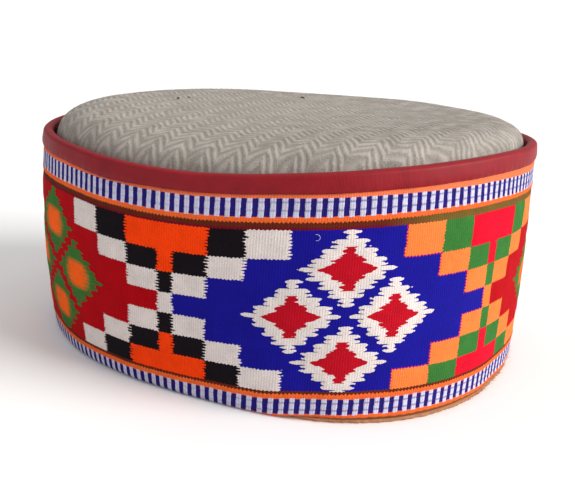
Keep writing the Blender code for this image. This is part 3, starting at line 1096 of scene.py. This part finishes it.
def bar_colours(tree, along, bars, lines, threads):
    """Blue bars on white ones, the white ones crossed by two grey threads, fainter at its start."""
    clear = ((along - FADE_START) / FADE_REACH).unit() * 0.55 + 0.25
    white = blend(tree, lines.near_any(threads, THREAD_WIDTH) * clear, BAR_WHITE, BAR_THREAD)
    return blend(tree, bars, white, BAR_BLUE)


def top_border(tree, along, across, bars, below_line, wobble, second_cross):
    """Colours of the upper border, from the pale line under the binding to the dark red one."""
    white_end = (bars - 0.5) * -WHITE_REACH
    rope = along.tooth(TOOTH_PITCH) * -0.6
    edge = below_line + wobble * 0.5
    colour = bar_colours(tree, along, bars, below_line, TOP_THREADS)
    colour = blend(tree, edge.below(BINDING_LINE), colour, LINE_PINK)
    for start, stripe in TOP_STRIPES:
        wander = white_end if stripe is LINE_ORANGE else rope
        colour = blend(tree, (edge - wander).above(start), colour, stripe)
    olive = ((across - OLIVE_START) / -OLIVE_REACH).unit() * second_cross
    olive = olive * edge.above(TOP_STRIPES[1][0])
    return blend(tree, olive * OLIVE_SHARE, colour, OLIVE)


def foot_border(tree, along, bars, above_foot, wobble):
    """Colours of the foot border, from the tan line at the hem up to the brown one."""
    white_end = (bars - 0.5) * -WHITE_REACH
    rope = along.tooth(TOOTH_PITCH) * 0.6
    edge = above_foot + wobble * 0.6
    bar_colour = bar_colours(tree, along, bars, above_foot, FOOT_THREADS)
    colour = blend(tree, edge.above(GOLD_STRIPE), TAN_CLOTH, GOLD)
    for start, stripe in FOOT_STRIPES:
        wander = white_end if start > FIELD_FOOT / 2.0 else white_end * -1.0
        wander = rope if stripe is BROWN else wander
        colour = blend(tree, (edge - wander).above(start), colour, stripe or bar_colour)
    return colour


def field(tree, pulled, row, above_foot, wobble):
    """Colours of the field and how proud they stand: crosses and lozenges on two grounds."""
    place_in_repeat = (pulled - CROSS_START).calc("FLOORED_MODULO", REPEAT)
    second_cross = (place_in_repeat - CROSS_STEP).calc("ABSOLUTE").below(PANEL_MIDDLE)
    blue_panel = place_in_repeat.below(CROSS_STEP)
    across = place_in_repeat.folded(PANEL_MIDDLE)
    reach = blend_numbers(second_cross, *FRAYED)
    frayed = across + finger(above_foot, wobble, FINGER_PITCH) * reach
    block = (row * LOW_BLOCKS).calc("MINIMUM", (row - FIELD_ROWS) * TOP_BLOCK + FIELD_ROWS)
    uneven = block + pulled.tooth(TOOTH_PITCH) * ROW_TEETH + wobble * ROW_WOBBLE
    held = uneven.calc("MAXIMUM", BARELY).calc("MINIMUM", FIELD_ROWS - BARELY)
    depth = cross_share(frayed, held)
    lozenges, core = lozenge_masks(across, row, wobble, blue_panel)
    colour = blend(tree, blue_panel, RED, BLUE)
    colour = blend(tree, lozenges, colour, blend(tree, blue_panel, GREEN, WHITE))
    colour = blend(tree, core, colour, blend(tree, blue_panel, CORE_ORANGE, CRIMSON))
    outward = (held - FIELD_ROWS / 2.0).calc("SIGN") * FRINGE_UP
    fringe = cross_share(frayed - FRINGE_OUT, held + outward).above(BLOCKS[0][0])
    fringe = fringe * across.below(CROSS_EDGES[-1] + FRINGE_END)
    colour = blend(tree, fringe * second_cross * blue_panel * FRINGE_SHARE, colour, MAGENTA)
    for begins, first, second in BLOCKS:
        block_colour = blend(tree, second_cross, first, second)
        colour = blend(tree, depth.above(begins), colour, block_colour)
    proud = depth.above(BLOCKS[0][0]).calc("MAXIMUM", lozenges)
    return colour, proud, across, second_cross


def chart_group():
    """The whole woven pattern as colour and height, from the band's own three maps."""
    inputs = (("Chart", "Vector"), ("Edges", "Vector"), ("Cloth", "Vector"), ("Wobble", "Float"))
    outputs = (("Color", "Color"), ("Proud", "Float"))
    tree, entry, leave = new_group("kullu_chart", inputs, outputs)
    pulled, row = split(Wire(tree, entry["Chart"]))
    below_line, above_foot = split(Wire(tree, entry["Edges"]))
    along = split(Wire(tree, entry["Cloth"]))[0]
    wobble = Wire(tree, entry["Wobble"]) - 0.5
    colour, proud, across, second_cross = field(tree, pulled, row, above_foot, wobble)
    bars = (along - BAR_START).wave(BAR_PITCH).above(wobble * 0.9)
    top = top_border(tree, along, across, bars, below_line, wobble, second_cross)
    foot = foot_border(tree, along, bars, above_foot, wobble)
    scallop = along.tooth(TOOTH_PITCH) * 0.4 + wobble * 0.5
    in_top = (below_line + scallop).below(FIELD_TOP)
    in_foot = (above_foot + scallop).below(FIELD_FOOT)
    colour = blend(tree, in_foot, blend(tree, in_top, colour, top), foot)
    beads = below_line.near_any(TOP_THREADS, BEAD_WIDTH)
    beads = beads.calc("MAXIMUM", above_foot.near_any(FOOT_THREADS, BEAD_WIDTH))
    in_border = in_top.calc("MAXIMUM", in_foot)
    feed(tree, colour, leave["Color"])
    feed(tree, blend_numbers(in_border, proud, bars * -0.6 - beads * 0.5 + 1.0), leave["Proud"])
    return tree


def blend_numbers(share, first, second):
    """A number between two numbers or wires, by a wire from zero to one."""
    if isinstance(first, Wire):
        return first + share * (second - first)
    return share * (second - first) + first


def within(distance, blue_panel, red_reach, blue_reach):
    """One inside a reach and zero outside, falling over a blur; each panel has its own two."""
    reach = blend_numbers(blue_panel, red_reach[0], blue_reach[0])
    blur = blend_numbers(blue_panel, red_reach[1], blue_reach[1])
    return ((reach - distance) / blur).unit()


def lozenge_masks(across, row, wobble, blue_panel):
    """Masks of the four stepped lozenges of a panel and of the crossed cores inside them."""
    side = across * -1.0 + PANEL_MIDDLE
    lift = (row - LOZENGE_ROW).calc("ABSOLUTE") * ROW_RISE
    upper = (lift * LOZENGE_SIDE - side * LOZENGE_LIFT).above(0.0)
    side = (side + upper * LOZENGE_SIDE - LOZENGE_SIDE).calc("ABSOLUTE")
    rise = (lift - upper * LOZENGE_LIFT).calc("ABSOLUTE")
    ends = finger(rise + LOZENGE_STEP / 4.0, wobble, LOZENGE_STEP / 2.0)
    steps = (rise / LOZENGE_STEP + LOZENGE_START).calc("FLOOR")
    lozenge = (side + ends * LOZENGE_FRAY).below(steps * -LOZENGE_SHRINK + LOZENGE_HALF)
    core_side = side + ends * CORE_FRAY
    distances = (core_side, rise, core_side + rise)
    sides, top, corners = (within(d, blue_panel, *r) for d, r in zip(distances, CORE_REACH))
    stem = core_side.below(STEM[0]) * rise.below(STEM[1])
    tips = (core_side / TIPS[0] + rise / TIPS[1]).below(1.0) * core_side.below(TIPS[2])
    arms = stem.calc("MAXIMUM", tips) * blue_panel
    return lozenge, (sides * top * corners).calc("MAXIMUM", arms)


def new_material(name, roughness, sheen, sheen_roughness, gloss=0.06):
    """A material with its shader, whose even values stand on the shader's own sockets."""
    material = bpy.data.materials.new(name)
    material.use_nodes = True
    tree = material.node_tree
    shader = tree.nodes["Principled BSDF"]
    shader.inputs["Roughness"].default_value = roughness
    shader.inputs["Specular IOR Level"].default_value = gloss
    shader.inputs["Sheen Weight"].default_value = sheen
    shader.inputs["Sheen Roughness"].default_value = sheen_roughness
    shader.inputs["Sheen Tint"].default_value = (1.0, 0.95, 0.92, 1.0)
    return material, tree, shader


def object_place(tree):
    """Object coordinates in millimetres."""
    source = tree.nodes.new("ShaderNodeTexCoord")
    scaled = tree.nodes.new("ShaderNodeVectorMath")
    scaled.operation = "SCALE"
    scaled.inputs["Scale"].default_value = 1.0 / MM
    tree.links.new(source.outputs["Object"], scaled.inputs[0])
    return Wire(tree, scaled.outputs[0])


def map_place(tree, label):
    """The two numbers of a piece's own map, as a vector."""
    node = tree.nodes.new("ShaderNodeUVMap")
    node.uv_map = label
    return Wire(tree, node.outputs[0])


def even_threads(tree, weave, yarn):
    """Height of an even weave of one yarn over a piece's own cloth map."""
    along, up = split(map_place(tree, "cloth"))
    return use_group(tree, weave, Across=along, Up=up, Rib=yarn, Yarn=yarn)["Height"]


def add_bump(tree, shader, height, distance, strength):
    """A bump that stands up by the given distance where the height is one."""
    node = tree.nodes.new("ShaderNodeBump")
    node.inputs["Distance"].default_value = distance
    node.inputs["Strength"].default_value = strength
    feed(tree, height, node.inputs["Height"])
    tree.links.new(node.outputs["Normal"], shader.inputs["Normal"])


def kullu_weave(weave, wool):
    """Ribbed wool weaving in the charted colours, with uneven dye and painted shade between the
    ribs.
    """
    material, tree, shader = new_material("kullu_weave", 0.92, 0.02, 0.5)
    spot = object_place(tree)
    tone = use_group(tree, wool, Place=spot)
    wobble = noise(spot, 0.55, 1.5)
    places = {label: map_place(tree, label.lower()) for label in ("Chart", "Edges", "Cloth")}
    charted = use_group(tree, chart_group(), Wobble=wobble, **places)
    along, up = split(places["Cloth"])
    ribs = use_group(tree, weave, Across=along, Up=up, Rib=RIB_PITCH, Yarn=0.72)["Height"]
    # The ribs' height darkens the grooves between them as painted shade; fibres and patches add
    # uneven dye.
    light = ribs * 0.18 + tone["Fibres"] * 0.64 + tone["Patches"] * 0.34 + 0.38
    feed(tree, shaded(tree, charted["Color"], light), shader.inputs["Base Color"])
    height = ribs * 0.3 + charted["Proud"] * 0.25 + tone["Fibres"] * 0.7
    add_bump(tree, shader, height, 0.0004, 0.7)
    return material


def maroon_cloth(weave, wool):
    """Plain maroon cloth: a close even weave, uneven dye, painted shade between threads, a faint
    sheen.
    """
    material, tree, shader = new_material("maroon_cloth", 0.5, 0.03, 0.4, gloss=0.22)
    tone = use_group(tree, wool, Place=object_place(tree))
    threads = even_threads(tree, weave, 0.46)
    share = tone["Patches"] * 0.9 + tone["Fibres"] * 0.5 - 0.2
    colour = blend(tree, share, MAROON_DARK, MAROON)
    # The threads' height darkens the colour between them as painted shade.
    feed(tree, shaded(tree, colour, threads * 0.2 + 0.9), shader.inputs["Base Color"])
    add_bump(tree, shader, threads * 0.5 + tone["Fibres"] * 0.5, 0.00015, 0.5)
    return material


def herringbone_wool(wool):
    """Grey wool in slanting ribs, with painted highlight on top and shade between, fuzz and patches
    of tone.
    """
    material, tree, shader = new_material("herringbone_wool", 0.95, 0.06, 0.5)
    spot = object_place(tree)
    tone = use_group(tree, wool, Place=spot)
    along, across = stripe_place(*split(spot))
    folded = (across + STRIPE_START).folded(STRIPE_WIDTH)
    stray_weave = (tone["Fibres"] - 0.5) * 1.6 + (tone["Patches"] - 0.5) * 3.0
    ribs = (along + folded * RIB_SLANT + stray_weave).wave(RIB_SPACING) * 0.5 + 0.5
    # Each rib's top is painted lighter and its groove darker, as painted highlight and painted
    # shade whose strength varies in random patches; fibres and patches add uneven dye.
    rib_shade_strength = tone["Patches"] * 1.5 - 0.3
    share = ribs * rib_shade_strength + tone["Fibres"] * 1.5 + tone["Patches"] * 0.4 - 0.7
    feed(tree, blend(tree, share, WOOL_DARK, WOOL_LIGHT), shader.inputs["Base Color"])
    add_bump(tree, shader, ribs + tone["Fibres"] * 1.2, 0.0004, 0.5)
    return material


# Plain cloths: roughness, width of the yarn, dark and light dye, then the weights of threads,
# fibres and patches in the run between them (the threads' weight paints shade between threads)
# and what is taken off it, and last the weights of threads and fibres in the bump, and its height.
PLAIN_CLOTHS = {
    "inner_wool": (0.95, 1.1, (WOOL_DARK, WOOL_LIGHT), (0.4, 0.7, 0.7, 0.5), (0.6, 0.5, 0.0004)),
    "tan_cloth": (0.9, 0.7, (TAN_DARK, TAN_CLOTH), (0.5, 0.6, 0.6, 0.4), (0.7, 0.4, 0.0003)),
}


def plain_cloth(name, weave, wool):
    """A soft even weave, its colour run from dark to light by its table row: painted shade and
    uneven dye.
    """
    roughness, yarn, dyes, tones, relief = PLAIN_CLOTHS[name]
    material, tree, shader = new_material(name, roughness, 0.06, 0.5)
    tone = use_group(tree, wool, Place=object_place(tree))
    threads = even_threads(tree, weave, yarn)
    # The threads' weight darkens the colour between them as painted shade; fibres and patches are
    # uneven dye.
    share = threads * tones[0] + tone["Fibres"] * tones[1] + tone["Patches"] * tones[2] - tones[3]
    feed(tree, blend(tree, share, *dyes), shader.inputs["Base Color"])
    add_bump(tree, shader, threads * relief[0] + tone["Fibres"] * relief[1], relief[2], 0.7)
    return material


def strand_finish(name, wool, dark, light):
    """A matt finish for threads and fibres, with small changes of tone along them."""
    material, tree, shader = new_material(name, 0.9, 0.05, 0.5)
    tone = use_group(tree, wool, Place=object_place(tree))
    share = tone["Fibres"] * 1.4 - 0.2
    feed(tree, blend(tree, share, dark, light), shader.inputs["Base Color"])
    return material


CAMERA_DISTANCE = 0.4
CAMERA_DROP = 0.28985        # how far the camera looks down, in radians
CAMERA_ROLL = 0.07624        # its turn about its own line of sight, in radians
AIM_POINT = Vector((0.00119, 0.00085, 0.045))
LENS = 57.96
SHIFT_UP = -0.0362
SHIFT_SIDE = -0.0009


def add_camera():
    """The camera at the photo's angle: its distance from the aim point, its drop and its roll."""
    forward = Vector((0.0, math.cos(CAMERA_DROP), -math.sin(CAMERA_DROP)))
    right = Vector((1.0, 0.0, 0.0))
    up = right.cross(forward)
    tilted_right = right * math.cos(CAMERA_ROLL) + up * math.sin(CAMERA_ROLL)
    tilted_up = up * math.cos(CAMERA_ROLL) - right * math.sin(CAMERA_ROLL)
    data = bpy.data.cameras.new("photo_camera")
    data.sensor_width = 36.0
    data.lens = LENS
    data.shift_x = SHIFT_SIDE
    data.shift_y = SHIFT_UP
    data.clip_start = 0.01
    data.clip_end = 60.0
    camera = bpy.data.objects.new("photo_camera", data)
    turned = Matrix((tilted_right, tilted_up, -forward)).transposed().to_4x4()
    camera.matrix_world = Matrix.Translation(AIM_POINT - forward * CAMERA_DISTANCE) @ turned
    bpy.context.scene.collection.objects.link(camera)
    bpy.context.scene.camera = camera


# Broad soft lights: where each comes from, its irradiance, its spread in degrees and its colour.
LIGHTS = {
    "key_right": ((1.15, -0.33, 0.60), 4.0, 38.0, (1.0, 0.98, 0.95)),
    "fill_left": ((-0.8, -0.9, 0.5), 0.50, 50.0, (1.0, 1.0, 1.0)),
    "ceiling": ((0.0, 0.3, 1.6), 0.75, 70.0, (1.0, 1.0, 1.0)),
}
SURROUND = 0.37              # light of the pale surround on the cap
SURROUND_SEEN = 0.97         # its brightness where the camera looks past the floor
FLOOR_REACH = 15.0           # half width of the floor
FLOOR_SEEN = (0.92, 0.92, 0.92, 1.0)
FLOOR_BOUNCE = (0.70, 0.70, 0.70, 1.0)  # its colour in the light that it throws back


def seen_by_camera(tree):
    """One where a surface is seen straight from the camera, and zero in its reflected light."""
    return Wire(tree, tree.nodes.new("ShaderNodeLightPath").outputs["Is Camera Ray"])


def add_light(name, source, strength, spread, colour):
    """A distant light as broad as its spread, shining from its source to the middle."""
    data = bpy.data.lights.new(name, "SUN")
    data.energy = strength
    data.angle = math.radians(spread)
    data.color = colour
    lamp = bpy.data.objects.new(name, data)
    lamp.rotation_mode = "QUATERNION"
    lamp.rotation_quaternion = Vector(source).to_track_quat("Z", "Y")
    bpy.context.scene.collection.objects.link(lamp)


def add_studio():
    """A wide pale floor, an even pale surround, and soft light that is strongest from the right."""
    corners = np.array([[-1, -1, 0], [1, -1, 0], [1, 1, 0], [-1, 1, 0]]) * FLOOR_REACH
    material = bpy.data.materials.new("pale_floor")
    material.use_nodes = True
    tree = material.node_tree
    shader = tree.nodes["Principled BSDF"]
    colour = blend(tree, seen_by_camera(tree), FLOOR_BOUNCE, FLOOR_SEEN)
    feed(tree, colour, shader.inputs["Base Color"])
    shader.inputs["Roughness"].default_value = 0.9
    new_piece("floor", corners, [(0, 1, 2, 3)], material)
    world = bpy.data.worlds.new("pale_surround")
    world.use_nodes = True
    tree = world.node_tree
    surround = tree.nodes["Background"]
    surround.inputs["Color"].default_value = (1.0, 1.0, 1.0, 1.0)
    strength = blend_numbers(seen_by_camera(tree), SURROUND, SURROUND_SEEN)
    feed(tree, strength, surround.inputs["Strength"])
    bpy.context.scene.world = world
    for name, (source, strength, spread, colour) in LIGHTS.items():
        add_light(name, source, strength, spread, colour)
    bpy.context.scene.view_settings.view_transform = "Standard"


def build():
    """The finishes, the five cloths, their threads and fibres, and the studio."""
    rng = np.random.default_rng(12)
    weave = weave_group()
    wool = wool_group()
    wool_finish = herringbone_wool(wool)
    tan_finish = plain_cloth("tan_cloth", weave, wool)
    add_band(kullu_weave(weave, wool))
    add_rim_binding(maroon_cloth(weave, wool))
    add_hem_binding(tan_finish, rng)
    add_inner_wall(plain_cloth("inner_wool", weave, wool))
    add_crown(wool_finish)
    add_crown_fuzz(strand_finish("wool_fibre", wool, WOOL_DARK, WOOL_LIGHT), rng)
    add_hem_fray(strand_finish("tan_fibre", wool, TAN_DARK, TAN_CLOTH), rng)
    add_seam_stitches(strand_finish("red_thread", wool, WINE, RED))
    add_loose_threads(strand_finish("pale_thread", wool, BAR_WHITE, WHITE))
    add_lint(strand_finish("dark_lint", wool, LINT_DARK, LINT_GREY))
    add_tape_stitches(strand_finish("tan_thread", wool, TAN_DARK, TAN_CLOTH))
    add_camera()
    add_studio()


build()
